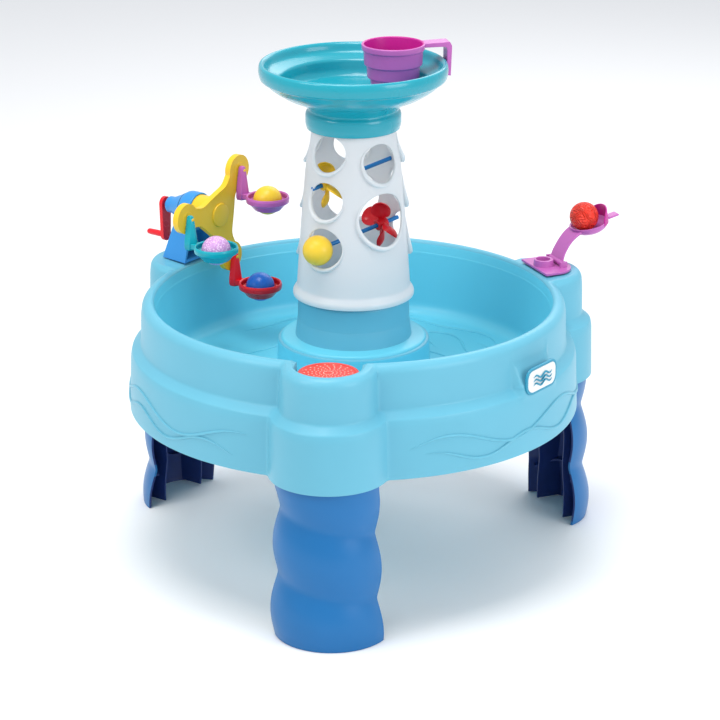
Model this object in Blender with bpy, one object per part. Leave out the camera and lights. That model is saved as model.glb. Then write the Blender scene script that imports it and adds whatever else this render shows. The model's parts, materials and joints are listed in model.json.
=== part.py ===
"""Sand and water table: a round basin on three legs with a tower, bowl, wheel and launcher.

Metres, +Z up, the front leg towards -Y. Heights named *_Z are above the ground.
"""
import math

import bmesh
import bpy
from mathutils import Matrix, Vector

# ---------------------------------------------------------------- dimensions
TABLE_X = -0.0167          # table axis, measured from the middle of the footprint
TABLE_Y = 0.0305
RIM_Z = 0.405              # top of the basin's rim
GAP = 0.0003               # air between two pieces that touch

POD_ANGLES = {"front": 0.0, "right": 120.0, "left": -120.0}

TOWER_Z = RIM_Z + 0.0045   # seat of the tower on the basin's column
BOWL_Z = RIM_Z + 0.262     # lower edge of the bowl's collar

AXLE_TURN = 41.5           # degrees from +X towards +Y
AXLE_TILT = 10.0           # degrees, rising to the right
AXLE_R = 0.0032
UPPER_AXLE_Z = RIM_Z + 0.1915
LOWER_AXLE_Z = RIM_Z + 0.0950
UPPER_HUB_AT = -0.050      # along the axle
LOWER_HUB_AT = 0.052

WHEEL_OUT = 0.252          # table axis to the plane of the cup pegs
WHEEL_Z = RIM_Z + 0.081
ARM_LENGTH = 0.079
ARM_ANGLES = {"teal": 8.7, "magenta": 128.7, "red": 248.7}
CUP_DROP = 0.034           # peg to the cup's rim
CUP_REACH = 0.050          # peg to the cup's axis, towards the table axis

BALL_R = 0.0225
CUP_HOLE_R = 0.0172
CUP_DEPTH = 0.021

LAUNCH_HINGE_OUT = 0.344
LAUNCH_HINGE_Z = RIM_Z + 0.012
SPOON_OUT = 0.402
SPOON_R = 0.031
SPOON_Z = RIM_Z + 0.053    # underside of the spoon's floor
SPOON_TIP = 13.0           # degrees the spoon leans back

BUCKET_ANGLE = 109.6
BUCKET_OUT = 0.0603
BUCKET_Z = RIM_Z + 0.3150  # underside of the bucket

DISC_OUT = 0.3125
DISC_R = 0.0440

BADGE_ANGLE = 60.0
BADGE_HALF = 6.8           # degrees
BADGE_MID = -0.058         # from the rim

# ---------------------------------------------------------------- scene
for old in list(bpy.data.objects):
    bpy.data.objects.remove(old, do_unlink=True)
scene = bpy.context.scene
parts = bpy.data.collections.new("SandWaterTable")
cutters = bpy.data.collections.new("Cutters")
scene.collection.children.link(parts)
scene.collection.children.link(cutters)


def material(name, color, roughness=0.35, transmission=0.0):
    mat = bpy.data.materials.new(name)
    mat.use_nodes = True
    bsdf = mat.node_tree.nodes["Principled BSDF"]
    bsdf.inputs["Base Color"].default_value = (*color, 1.0)
    bsdf.inputs["Roughness"].default_value = roughness
    bsdf.inputs["Transmission Weight"].default_value = transmission
    return mat


BLUE = (0.02, 0.20, 0.52)
YELLOW = (0.86, 0.60, 0.03)
RED = (0.76, 0.02, 0.03)
MAGENTA = (0.42, 0.08, 0.40)
TEAL = (0.00, 0.36, 0.47)


def empty(name, matrix, parent=None):
    obj = bpy.data.objects.new(name, None)
    obj.empty_display_size = 0.03
    parts.objects.link(obj)
    obj.parent = parent
    obj.matrix_basis = matrix
    return obj


def add(name, mesh, mat, parent, matrix=None, flat=False):
    """One named object of the build from finished mesh data."""
    obj = bpy.data.objects.new(name, mesh)
    mesh.materials.clear()
    mesh.materials.append(mat)
    for poly in mesh.polygons:
        poly.use_smooth = not flat
    parts.objects.link(obj)
    obj.parent = parent
    obj.matrix_basis = matrix or Matrix.Identity(4)
    return obj


def mesh_from(verts, faces, name="part"):
    mesh = bpy.data.meshes.new(name)
    mesh.from_pydata([tuple(v) for v in verts], [], faces)
    bm = bmesh.new()
    bm.from_mesh(mesh)
    bmesh.ops.remove_doubles(bm, verts=bm.verts, dist=1e-6)
    bmesh.ops.recalc_face_normals(bm, faces=bm.faces)
    bm.to_mesh(mesh)
    bm.free()
    return mesh


def loft(rings, closed=False):
    """Skin a list of equal rings; the ends are capped unless the rings close on themselves."""
    count = len(rings[0])
    verts = [v for ring in rings for v in ring]
    faces = []
    spans = len(rings) if closed else len(rings) - 1
    for i in range(spans):
        a = i * count
        b = ((i + 1) % len(rings)) * count
        for k in range(count):
            n = (k + 1) % count
            faces.append((a + k, a + n, b + n, b + k))
    if not closed:
        faces.append(tuple(range(count)))
        faces.append(tuple(range((len(rings) - 1) * count, len(rings) * count)))
    return mesh_from(verts, faces)


def turned(profile, steps, closed=True):
    """Mesh of a profile of (radius, height) turned about Z; open profiles start and end at radius 0."""
    rings = []
    angles = [2 * math.pi * k / steps for k in range(steps)]
    verts = []
    for radius, height in profile:
        if radius < 1e-9:
            rings.append([len(verts)] * steps)
            verts.append((0.0, 0.0, height))
            continue
        rings.append(list(range(len(verts), len(verts) + steps)))
        verts += [(radius * math.cos(a), radius * math.sin(a), height) for a in angles]
    faces = []
    spans = len(rings) if closed else len(rings) - 1
    for i in range(spans):
        low = rings[i]
        high = rings[(i + 1) % len(rings)]
        for k in range(steps):
            n = (k + 1) % steps
            loop = []
            for v in (low[k], low[n], high[n], high[k]):
                if v not in loop:
                    loop.append(v)
            if len(loop) > 2:
                faces.append(tuple(loop))
    return mesh_from(verts, faces)


def rod(radius, start, end, steps=20):
    """Cylinder along Y from start to end."""
    return turned_y([(0.0, start), (radius, start), (radius, end), (0.0, end)], steps, closed=False)


def turned_y(profile, steps, closed=True):
    """As turned(), but the heights run along Y."""
    mesh = turned(profile, steps, closed)
    mesh.transform(Matrix.Rotation(math.radians(-90), 4, "X"))
    return mesh


def slab(outline, y0, y1):
    """Outline in the XZ plane given thickness along Y."""
    return loft([[(x, y0, z) for x, z in outline], [(x, y1, z) for x, z in outline]])


def box(x0, x1, y0, y1, z0, z1):
    corners = [(x0, y0), (x1, y0), (x1, y1), (x0, y1)]
    return loft([[(x, y, z0) for x, y in corners], [(x, y, z1) for x, y in corners]])


def combine(base, steps):
    """Apply exact Booleans to a mesh: each step is ("UNION" or "DIFFERENCE", mesh)."""
    body = bpy.data.objects.new("body", base)
    scene.collection.objects.link(body)
    used = []
    for operation, mesh in steps:
        tool = bpy.data.objects.new("tool", mesh)
        cutters.objects.link(tool)
        tool.hide_render = True
        tool.display_type = "WIRE"
        used.append(tool)
        mod = body.modifiers.new("cut", "BOOLEAN")
        mod.operation = operation
        mod.solver = "EXACT"
        mod.object = tool
    graph = bpy.context.evaluated_depsgraph_get()
    result = bpy.data.meshes.new_from_object(body.evaluated_get(graph))
    for obj in [body, *used]:
        bpy.data.objects.remove(obj, do_unlink=True)
    bm = bmesh.new()
    bm.from_mesh(result)
    bmesh.ops.remove_doubles(bm, verts=bm.verts, dist=2e-6)
    bmesh.ops.dissolve_degenerate(bm, edges=bm.edges, dist=2e-6)
    bmesh.ops.triangulate(bm, faces=[f for f in bm.faces if len(f.verts) > 4])
    bm.to_mesh(result)
    bm.free()
    return result


def turn_z(degrees):
    return Matrix.Rotation(math.radians(degrees), 4, "Z")


root = empty("table_axis", Matrix.Translation((TABLE_X, TABLE_Y, 0.0)))
pods = {side: empty("pod_" + side, turn_z(a), root) for side, a in POD_ANGLES.items()}

# ---------------------------------------------------------------- basin
# One closed profile from the spigot at the axis, over the rim, down the skirt and back underneath.
# Each row: radius, height from the rim, radius of the round turrets over the legs, kind of row.
SEAT_R = 0.0836
TURRET_OUT = 0.3125        # table axis to the middle of each turret
PROFILE = [
    (0.050, 0.020, 0, ""),
    (0.052, 0.0035, 0, ""),
    (0.0816, 0.0035, 0, ""),
    (SEAT_R, 0.000, 0, ""),
    (0.0850, -0.058, 0, ""),
    (0.1100, -0.060, 0, ""),
    (0.1135, -0.1190, 0, ""),
    (0.2780, -0.1200, 0, ""),
    (0.2900, -0.1080, 0, ""),
    (0.2975, -0.0190, 0, "shelf_in"),
    (0.2980, -0.0180, 0.0478, "shelf"),
    (0.3005, -0.0030, 0.0486, "shelf"),
    (0.3045, 0.0000, 0.0525, "shelf"),
    (0.3120, -0.0010, 0.0610, "turret"),
    (0.3185, -0.0080, 0.0672, "turret"),
    (0.3200, -0.0200, 0.0690, "turret"),
    (0.3215, -0.0660, 0.0700, "boss"),
    (0.3350, -0.0770, 0.0830, "boss"),
    (0.3370, -0.0860, 0.0850, "turret"),
    (0.3400, -0.1650, 0.0870, "turret"),
    (0.3360, -0.1650, 0.0830, "turret"),
    (0.3325, -0.0880, 0.0810, "turret"),
    (0.3170, -0.0740, 0.0655, "turret"),
    (0.3155, -0.0120, 0.0645, "turret"),
    (0.3090, -0.0050, 0.0580, "turret"),
    (0.3065, -0.0050, 0.0535, "shelf"),
    (0.3045, -0.0120, 0.0522, "shelf"),
    (0.3035, -0.0215, 0.0515, "shelf"),
    (0.3030, -0.0225, 0, "shelf_in"),
    (0.2945, -0.1100, 0, ""),
    (0.2810, -0.1240, 0, ""),
    (0.1170, -0.1230, 0, ""),
    (0.1145, -0.0640, 0, ""),
    (0.0885, -0.0620, 0, ""),
    (0.0800, -0.0010, 0, ""),
    (0.0480, -0.0010, 0, ""),
    (0.0460, 0.0160, 0, ""),
]
HALF_SECTOR = [0, 4, 7, 9, 10.6, 12, 13.2, 14.3, 17, 26, 38, 51.5, 53, 60]
SECTOR = [-a for a in reversed(HALF_SECTOR[1:])] + HALF_SECTOR[:-1]
TURRET_LIFT = 0.003        # the two closed turrets stand a little above the rim
BOSS_TOP = PROFILE[15]     # the row that drops to the top of the badge's boss


def turret_radius(half, degrees):
    """Distance from the table axis to the far side of a turret, seen at an angle from its middle."""
    a = math.radians(degrees)
    sideways = TURRET_OUT * math.sin(a)
    if abs(sideways) >= half:
        return 0.0
    return TURRET_OUT * math.cos(a) + math.sqrt(half * half - sideways * sideways)


def basin_point(row, side, degrees):
    radius, height, half, kind = row
    bearing = POD_ANGLES[side] + degrees
    off_badge = abs((bearing - BADGE_ANGLE + 180.0) % 360.0 - 180.0)
    if kind in ("turret", "boss") or (kind == "shelf" and side == "front"):
        radius = max(radius, turret_radius(half, degrees))
    if kind == "turret" and side != "front" and height > -0.012 and radius > 0.3215:
        height += TURRET_LIFT
    if off_badge < 8.0 and kind == "boss":
        radius = max(radius, 0.3385)
    if off_badge < 8.0 and row is BOSS_TOP:
        height = -0.0320
    a = math.radians(bearing)
    return (radius * math.sin(a), -radius * math.cos(a), RIM_Z + height)


def build_basin():
    stations = [(side, d) for side in ("front", "right", "left") for d in SECTOR]
    count = len(stations)
    verts = []
    for row in PROFILE:
        verts += [basin_point(row, side, d) for side, d in stations]
    faces = []
    for i in range(len(PROFILE) - 1):
        for k in range(count):
            n = (k + 1) % count
            faces.append((i * count + k, i * count + n, (i + 1) * count + n, (i + 1) * count + k))
    top = len(verts)
    verts.append((0.0, 0.0, RIM_Z + 0.020))
    verts.append((0.0, 0.0, RIM_Z + 0.016))
    last = (len(PROFILE) - 1) * count
    for k in range(count):
        n = (k + 1) % count
        faces.append((top, n, k))
        faces.append((top + 1, last + k, last + n))
    return mesh_from(verts, faces)


add("basin", build_basin(), material("BasinBlue", (0.18, 0.52, 0.68), 0.4), root)

# ---------------------------------------------------------------- legs
LEG_TOP = RIM_Z - 0.0862
LEG_WALL = 0.0035
SCALLOP = 0.100            # height of one bulge
SCALLOP_DEPTH = 0.010
LEG_STATIONS = 12
LEG_ARC = 7
RIB_ANGLES = (-32.0, 32.0)


def leg_ring(height, lean):
    """Open C section of a leg: round outside, two upright ribs inside, open towards the table axis."""
    t = 1.0 - height / LEG_TOP
    radius = 0.0770 + 0.0130 * t ** 1.4
    reach = 74.0 - 6.0 * t
    fade = min(1.0, max(0.0, (RIM_Z - 0.165 - height) / 0.020))
    outer = []
    inner = []
    for k in range(LEG_ARC * 2 + 1):
        turn = reach * (k / LEG_ARC - 1.0)
        a = math.radians(turn)
        phase = height / SCALLOP + 0.22 * lean * turn / 90.0 + 0.20
        swell = fade * SCALLOP_DEPTH * (abs(math.sin(math.pi * phase)) - 1.0)
        r = radius + swell
        outer.append((r * math.sin(a), -(TURRET_OUT + r * math.cos(a)), height))
        r -= LEG_WALL
        inner.append((r * math.sin(a), -(TURRET_OUT + r * math.cos(a)), height))
        for rib in RIB_ANGLES:
            if 0.0 <= rib - turn < reach / LEG_ARC:
                x = r * math.sin(math.radians(rib))
                y = TURRET_OUT + r * math.cos(math.radians(rib)) - 0.0005
                tip = TURRET_OUT + radius * math.cos(math.radians(reach)) + 0.006
                inner += [(x - 0.0014, -y, height), (x - 0.0014, -tip, height),
                          (x + 0.0014, -tip, height), (x + 0.0014, -y, height)]
    return outer + inner[::-1]


def build_leg(lean):
    rings = []
    for i in range(LEG_STATIONS + 1):
        rings.append(leg_ring(LEG_TOP * (1.0 - i / LEG_STATIONS), lean))
    return loft(rings)


LEG_LEAN = {"front": 1.0, "right": 1.0, "left": 1.0}
for side, pod in pods.items():
    leg_mat = material("LegBlue_" + side, BLUE, 0.38)
    add("leg_" + side, build_leg(LEG_LEAN[side]), leg_mat, pod)

# ---------------------------------------------------------------- badge and front disc
def build_badge():
    rings = []
    for degrees, half in ((-BADGE_HALF, 0.013), (-5.6, 0.0190), (-3.0, 0.0205), (0.0, 0.0207),
                          (3.0, 0.0205), (5.6, 0.0190), (BADGE_HALF, 0.013)):
        a = math.radians(degrees)
        ring = []
        for radius, z in ((0.3388, -half), (0.3412, -half), (0.3412, half), (0.3388, half)):
            ring.append((radius * math.sin(a), -radius * math.cos(a), RIM_Z + BADGE_MID + z))
        rings.append(ring)
    return loft(rings)


badge_axis = empty("badge_bearing", turn_z(BADGE_ANGLE), root)
add("badge_plate", build_badge(), material("BadgeWhite", (0.80, 0.84, 0.84), 0.3), badge_axis)

DISC_Z = RIM_Z - 0.0178 + GAP
disc_axis = empty("disc_axis", Matrix.Translation((0, -DISC_OUT, DISC_Z)), pods["front"])
disc_profile = [(0.0, 0.0), (DISC_R - 0.001, 0.0), (DISC_R, 0.0010), (DISC_R, 0.0045), (DISC_R - 0.001, 0.0055),
                (DISC_R - 0.006, 0.0058), (DISC_R - 0.007, 0.0050), (0.0, 0.0056)]
add("splash_disc", turned(disc_profile, 36, closed=False), material("DiscRed", RED, 0.3), disc_axis)

# ---------------------------------------------------------------- tower
TOWER_WALL = 0.003
TOWER_PROFILE = [(0.0911, 0.0000), (0.0911, 0.0070), (0.0850, 0.0160), (0.0838, 0.0350), (0.0795, 0.1000),
                 (0.0745, 0.1600), (0.0700, 0.2090), (0.0640, 0.2400), (0.0617, 0.2570), (0.0617, 0.2660)]
SMALL_HOLES = ((0.2293, 0.0275), (0.1600, 0.0285), (0.0889, 0.0310))
LARGE_HOLES = ((0.2150, 0.0300), (0.1310, 0.0410))
HOLE_COLUMNS = ((-28.0, SMALL_HOLES), (43.0, LARGE_HOLES), (115.0, SMALL_HOLES),
                (187.0, LARGE_HOLES), (259.0, SMALL_HOLES))


def axle_matrix(height):
    """Local X runs along an axle, the origin where it crosses the table axis."""
    return (Matrix.Translation((0, 0, height)) @ turn_z(AXLE_TURN)
            @ Matrix.Rotation(math.radians(-AXLE_TILT), 4, "Y"))


def rod_x(radius, start, end, steps=16):
    mesh = rod(radius, start, end, steps)
    mesh.transform(Matrix.Rotation(math.radians(-90), 4, "Z"))
    return mesh


def build_tower():
    inside = [(r - TOWER_WALL, z) for r, z in TOWER_PROFILE]
    shell = turned(TOWER_PROFILE + inside[::-1], 36)
    cuts = []
    for bearing, holes in HOLE_COLUMNS:
        for height, radius in holes:
            cut = rod(radius, -0.110, -0.030, 16)
            cut.transform(turn_z(bearing) @ Matrix.Translation((0, 0, height)))
            cuts.append(("DIFFERENCE", cut))
    for height in (UPPER_AXLE_Z, LOWER_AXLE_Z):
        cut = rod_x(AXLE_R + GAP, -0.110, 0.110)
        cut.transform(axle_matrix(height - TOWER_Z))
        cuts.append(("DIFFERENCE", cut))
    return combine(shell, cuts)


tower_seat = empty("tower_seat", Matrix.Translation((0, 0, TOWER_Z)), root)
add("tower", build_tower(), material("TowerWhite", (0.72, 0.75, 0.77), 0.35, 0.3), tower_seat)

# ---------------------------------------------------------------- axles and spinners
# The lower axle is held at one end only, clear of the ball in the low port.
AXLES = (("axle_upper", UPPER_AXLE_Z, -0.0755, 0.0755), ("axle_lower", LOWER_AXLE_Z, -0.0590, 0.0830))
for name, height, start, end in AXLES:
    axle = empty(name + "_line", axle_matrix(height), root)
    add(name, rod_x(AXLE_R, start, end), material(name + "_blue", BLUE, 0.35), axle)


def build_paddle_spinner(paddle_r, reach, thick):
    """Hub with four round paddles in the YZ plane, bored along X for its axle."""
    hub = turned([(AXLE_R + GAP, -0.0085), (0.0080, -0.0085), (0.0080, 0.0085), (AXLE_R + GAP, 0.0085)], 20)
    hub.transform(Matrix.Rotation(math.radians(90), 4, "Y"))
    joins = []
    for k in range(4):
        outline = [(0.0055, -0.0045), (reach - paddle_r * 0.9, -0.0050)]
        for j in range(9):
            a = math.radians(-145.0 + 290.0 * j / 8)
            outline.append((reach + paddle_r * math.cos(a), paddle_r * math.sin(a)))
        outline += [(reach - paddle_r * 0.9, 0.0050), (0.0055, 0.0045)]
        paddle = slab(outline, -thick / 2, thick / 2)
        paddle.transform(Matrix.Rotation(math.radians(90.0 * k + 12.0), 4, "X")
                         @ Matrix.Rotation(math.radians(90), 4, "Z")
                         @ Matrix.Rotation(math.radians(28), 4, "X"))
        joins.append(("UNION", paddle))
    return combine(hub, joins)


SPINNERS = (("spinner_yellow", UPPER_AXLE_Z, UPPER_HUB_AT, YELLOW), ("spinner_red", LOWER_AXLE_Z, LOWER_HUB_AT, RED))
for name, height, along, color in SPINNERS:
    hub_at = empty(name + "_axis", axle_matrix(height) @ Matrix.Translation((along, 0, 0)), root)
    add(name, build_paddle_spinner(0.0115, 0.0270, 0.0030), material(name + "_skin", color, 0.35), hub_at)

# ---------------------------------------------------------------- bowl on the tower
BOWL_PROFILE = [(0.0690, 0.0000), (0.0710, 0.0080), (0.0710, 0.0230), (0.0660, 0.0290), (0.0800, 0.0420),
                (0.1000, 0.0485), (0.1220, 0.0620), (0.1360, 0.0780), (0.1390, 0.0900), (0.1375, 0.0965),
                (0.1345, 0.0975), (0.1315, 0.0945), (0.1270, 0.0830), (0.1075, 0.0760), (0.1040, 0.0600),
                (0.0980, 0.0520), (0.0450, 0.0475), (0.0400, 0.0470), (0.0390, 0.0435), (0.0600, 0.0435),
                (0.0610, 0.0320), (0.0580, 0.0290), (0.0580, 0.0091), (0.0622, 0.0088), (0.0630, 0.0000)]
bowl_seat = empty("bowl_seat", Matrix.Translation((0, 0, BOWL_Z)), root)
add("bowl", turned(BOWL_PROFILE, 36), material("BowlTeal", TEAL, 0.3), bowl_seat)

# ---------------------------------------------------------------- wheel on the left pod
# Local frame: +X tangential, -Y outwards along the pod, +Z up; origin in the plane of the pegs.
wheel_axis = empty("wheel_axis", Matrix.Translation((0, -WHEEL_OUT, WHEEL_Z)), pods["left"])
STAR_Y0 = -0.0050          # face towards the cups
STAR_Y1 = -0.0150
DRUM_END = -0.0680
DRUM_R = 0.0255
BRACKET_Y = -0.0450        # open mouth of the bearing barrel
POD_TOP = -WHEEL_Z + RIM_Z + TURRET_LIFT


def star_outline():
    outline = []
    for base in ARM_ANGLES.values():
        arm = [(0.0290, -0.0225), (0.0440, -0.0135)]
        for j in range(11):
            a = math.radians(-140.0 + 280.0 * j / 10)
            arm.append((ARM_LENGTH + 0.0235 * math.cos(a), 0.0235 * math.sin(a)))
        arm += [(0.0440, 0.0135), (0.0290, 0.0225)]
        c = math.cos(math.radians(base))
        s = math.sin(math.radians(base))
        outline += [(x * c - z * s, x * s + z * c) for x, z in arm]
    return outline


def build_wheel():
    drum = rod(DRUM_R, DRUM_END, STAR_Y1 + 0.002, 32)
    joins = [("UNION", drum), ("UNION", rod(0.0190, STAR_Y0 - 0.001, STAR_Y0 + 0.0030, 28))]
    for base in ARM_ANGLES.values():
        a = math.radians(base)
        spot = Matrix.Translation((ARM_LENGTH * math.cos(a), 0, ARM_LENGTH * math.sin(a)))
        peg = rod(0.0026, STAR_Y0 - 0.002, 0.0060, 12)
        peg.transform(spot)
        joins.append(("UNION", peg))
    return combine(slab(star_outline(), STAR_Y1, STAR_Y0), joins)


add("wheel_star", build_wheel(), material("WheelYellow", YELLOW, 0.3), wheel_axis)


def build_bracket():
    """Channel-shaped post with a stepped bearing barrel on top, bored for the drum and the shaft."""
    barrel = turned_y([(0.0, BRACKET_Y), (0.0285, BRACKET_Y), (0.0285, BRACKET_Y - 0.020),
                       (0.0200, BRACKET_Y - 0.036), (0.0130, BRACKET_Y - 0.052),
                       (0.0130, BRACKET_Y - 0.062), (0.0, BRACKET_Y - 0.062)], 32, closed=False)
    foot = POD_TOP + GAP
    top = -0.020
    post = loft([
        [(-0.036, -0.048, foot), (0.036, -0.048, foot), (0.030, -0.098, foot), (-0.030, -0.098, foot)],
        [(-0.022, -0.048, top), (0.022, -0.048, top), (0.016, -0.084, top), (-0.016, -0.084, top)]])
    hollow = loft([
        [(-0.0325, -0.040, foot + 0.004), (0.0325, -0.040, foot + 0.004),
         (0.0265, -0.0945, foot + 0.004), (-0.0265, -0.0945, foot + 0.004)],
        [(-0.0190, -0.040, -0.0310), (0.0190, -0.040, -0.0310),
         (0.0135, -0.0800, -0.0310), (-0.0135, -0.0800, -0.0310)]])
    mouth = rod(DRUM_R + 0.0006, -0.0715, -0.040, 32)
    bore = rod(0.0056, -0.120, -0.060, 16)
    return combine(barrel, [("UNION", post), ("DIFFERENCE", hollow), ("DIFFERENCE", mouth), ("DIFFERENCE", bore)])


bracket_at = empty("bracket_at", Matrix.Translation((0, -WHEEL_OUT, WHEEL_Z)), pods["left"])
add("wheel_bracket", build_bracket(), material("BracketBlue", (0.05, 0.28, 0.62), 0.35), bracket_at)
add("wheel_shaft", rod(0.0050, -0.1130, DRUM_END - GAP, 16), material("ShaftBlue", BLUE, 0.35), wheel_axis)


def build_crank():
    outline = []
    for j in range(9):
        a = math.radians(180.0 * j / 8)
        outline.append((0.0110 * math.cos(a), 0.0110 * math.sin(a)))
    for j in range(9):
        a = math.radians(180.0 + 180.0 * j / 8)
        outline.append((0.0088 * math.cos(a), -0.052 + 0.0088 * math.sin(a)))
    arm = slab(outline, -0.1195, -0.1133)
    grip = turned_y([(0.0, -0.1180), (0.0052, -0.1180), (0.0046, -0.1500), (0.0030, -0.1530), (0.0, -0.1530)],
                    16, closed=False)
    grip.transform(Matrix.Translation((0, 0, -0.052)))
    return combine(arm, [("UNION", grip)])


add("wheel_crank", build_crank(), material("CrankRed", RED, 0.32), wheel_axis)

# ---------------------------------------------------------------- cups, hung on the wheel's pegs
CUP_PROFILE = [(0.0300, 0.0000), (0.0325, 0.0020), (0.0340, -0.0020), (0.0335, -0.0085), (0.0290, -0.0105),
               (0.0200, -CUP_DEPTH), (CUP_HOLE_R, -CUP_DEPTH), (0.0265, -0.0098), (0.0305, -0.0070)]


def build_cup():
    """Open-bottomed cup with a fin that hangs on the peg at the origin."""
    cup = turned(CUP_PROFILE, 24)
    cup.transform(Matrix.Translation((0, CUP_REACH, -CUP_DROP)))
    fin = loft([
        [(-0.0055, -0.0040, 0.0055), (0.0055, -0.0040, 0.0055), (0.0050, 0.0040, 0.0055), (-0.0050, 0.0040, 0.0055)],
        [(-0.0065, -0.0042, 0.0000), (0.0065, -0.0042, 0.0000), (0.0060, 0.0050, 0.0000), (-0.0060, 0.0050, 0.0000)],
        [(-0.0100, -0.0044, -0.0320), (0.0100, -0.0044, -0.0320), (0.0080, 0.0080, -0.0320),
         (-0.0080, 0.0080, -0.0320)],
        [(-0.0095, -0.0040, -0.0460), (0.0095, -0.0040, -0.0460), (0.0080, 0.0070, -0.0460),
         (-0.0080, 0.0070, -0.0460)]])
    neck = box(-0.0080, 0.0080, 0.0040, 0.0185, -0.0440, -0.0355)
    bore = rod(0.0026 + GAP, -0.020, 0.0200, 12)
    return combine(cup, [("UNION", neck), ("UNION", fin), ("DIFFERENCE", bore)])


def ball(steps=16, bands=9):
    profile = [(BALL_R * math.sin(math.pi * k / bands), BALL_R * math.cos(math.pi * k / bands))
               for k in range(1, bands)]
    return turned([(0.0, BALL_R), *profile, (0.0, -BALL_R)], steps, closed=False)


CUP_COLORS = {"teal": (0.0, 0.42, 0.52), "magenta": MAGENTA, "red": RED}
BALL_COLORS = {"teal": (0.60, 0.38, 0.66), "magenta": (0.86, 0.66, 0.12), "red": (0.03, 0.20, 0.62)}
BALL_IN_CUP = math.sqrt(BALL_R ** 2 - CUP_HOLE_R ** 2) + 0.0006
for color, base in ARM_ANGLES.items():
    a = math.radians(base)
    spot = Matrix.Translation((ARM_LENGTH * math.cos(a), 0, ARM_LENGTH * math.sin(a)))
    pivot = empty("cup_" + color + "_axis", spot, wheel_axis)
    add("cup_" + color, build_cup(), material("Cup_" + color, CUP_COLORS[color], 0.3), pivot)
    ball_at = Matrix.Translation((0, CUP_REACH, -CUP_DROP - CUP_DEPTH + BALL_IN_CUP))
    held = empty("ball_" + color + "_at", ball_at, pivot)
    add("ball_in_" + color, ball(), material("Ball_" + color, BALL_COLORS[color], 0.35), held)

# ---------------------------------------------------------------- launcher on the right pod
LAUNCH_TOP = RIM_Z + TURRET_LIFT + GAP


def build_launch_base():
    """D-shaped plate, straight side to the basin, with a raised oval socket."""
    outline = [(-0.043, -0.3045), (0.043, -0.3045)]
    for j in range(9):
        a = math.radians(180.0 * j / 8)
        outline.append((0.043 * math.cos(a), -(0.3300 + 0.032 * math.sin(a))))
    plate = loft([[(x, y, LAUNCH_TOP) for x, y in outline], [(x, y, LAUNCH_TOP + 0.0035) for x, y in outline]])
    socket = turned([(0.0, 0.0), (0.0160, 0.0), (0.0150, 0.0130), (0.0, 0.0130)], 24, closed=False)
    socket.transform(Matrix.Translation((0, -0.3215, LAUNCH_TOP + 0.0010)))
    well = turned([(0.0, 0.0), (0.0110, 0.0), (0.0110, 0.0200), (0.0, 0.0200)], 24, closed=False)
    well.transform(Matrix.Translation((0, -0.3205, LAUNCH_TOP + 0.0045)))
    lugs = [box(x, x + 0.004, -0.3500, -0.3380, LAUNCH_TOP + 0.001, LAUNCH_TOP + 0.0150) for x in (-0.0245, 0.0205)]
    bore = rod(0.0017 + GAP, -0.040, 0.040, 12)
    bore.transform(Matrix.Translation((0, -LAUNCH_HINGE_OUT, LAUNCH_HINGE_Z)) @ turn_z(90))
    steps = [("UNION", socket), *[("UNION", lug) for lug in lugs], ("DIFFERENCE", well), ("DIFFERENCE", bore)]
    return combine(plate, steps)


add("launcher_base", build_launch_base(), material("LaunchBase", MAGENTA, 0.35), pods["right"])

launch_hinge = empty("launcher_hinge", Matrix.Translation((0, -LAUNCH_HINGE_OUT, LAUNCH_HINGE_Z)), pods["right"])
pin = rod(0.0017, -0.0240, 0.0240, 12)
pin.transform(turn_z(90))
add("launcher_pin", pin, material("LaunchPin", (0.30, 0.05, 0.28), 0.35), launch_hinge)


SPOON_SEAT = (Matrix.Translation((0, -(SPOON_OUT - LAUNCH_HINGE_OUT), SPOON_Z - LAUNCH_HINGE_Z))
              @ Matrix.Rotation(math.radians(-SPOON_TIP), 4, "X"))


def build_launch_arm():
    """Curved strap from the hinge barrel up to a round spoon with a high back wall."""
    path = [(0.0000, 0.0000), (-0.0030, 0.0120), (-0.0110, 0.0260), (-0.0200, 0.0370), (-0.0330, 0.0460)]
    rings = []
    for i, (y, z) in enumerate(path):
        before = Vector(path[max(0, i - 1)])
        after = Vector(path[min(len(path) - 1, i + 1)])
        along = (after - before).normalized()
        half = 0.0190
        ny = along.y * 0.0015
        nz = -along.x * 0.0015
        rings.append([(-half, y - ny, z - nz), (half, y - ny, z - nz), (half, y + ny, z + nz), (-half, y + ny, z + nz)])
    strap = loft(rings)
    barrel = rod(0.0045, -0.0196, 0.0196, 16)
    barrel.transform(turn_z(90))
    bore = rod(0.0017 + GAP, -0.040, 0.040, 12)
    bore.transform(turn_z(90))
    spoon = turned([(0.0, 0.0), (0.0200, 0.0005), (0.0280, 0.0060), (SPOON_R, 0.0145), (0.0285, 0.0145),
                    (0.0255, 0.0075), (0.0190, 0.0030), (0.0, 0.0025)], 32, closed=False)
    wall = []
    for degrees, rise in ((-150, 0.0130), (-135, 0.0240), (-115, 0.0320), (-90, 0.0340), (-65, 0.0320),
                          (-45, 0.0240), (-30, 0.0130)):
        a = math.radians(degrees)
        ring = [(r * math.cos(a), r * math.sin(a), z)
                for r, z in ((0.0280, 0.0090), (0.0305, 0.0090), (0.0315, rise), (0.0290, rise))]
        wall.append(ring)
    tab = box(-0.0080, 0.0080, -0.0500, -0.0295, 0.0100, 0.0135)
    back = loft(wall)
    for mesh in (spoon, back, tab):
        mesh.transform(SPOON_SEAT)
    steps = [("UNION", barrel), ("UNION", spoon), ("UNION", back), ("UNION", tab), ("DIFFERENCE", bore)]
    return combine(strap, steps)


add("launcher_arm", build_launch_arm(), material("LaunchArm", MAGENTA, 0.32), launch_hinge)

launch_ball = empty("launch_ball_at", SPOON_SEAT @ Matrix.Translation((0, 0.0060, 0.0266)), launch_hinge)
add("ball_launcher", ball(), material("BallOrange", (0.85, 0.08, 0.04), 0.35), launch_ball)

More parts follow.
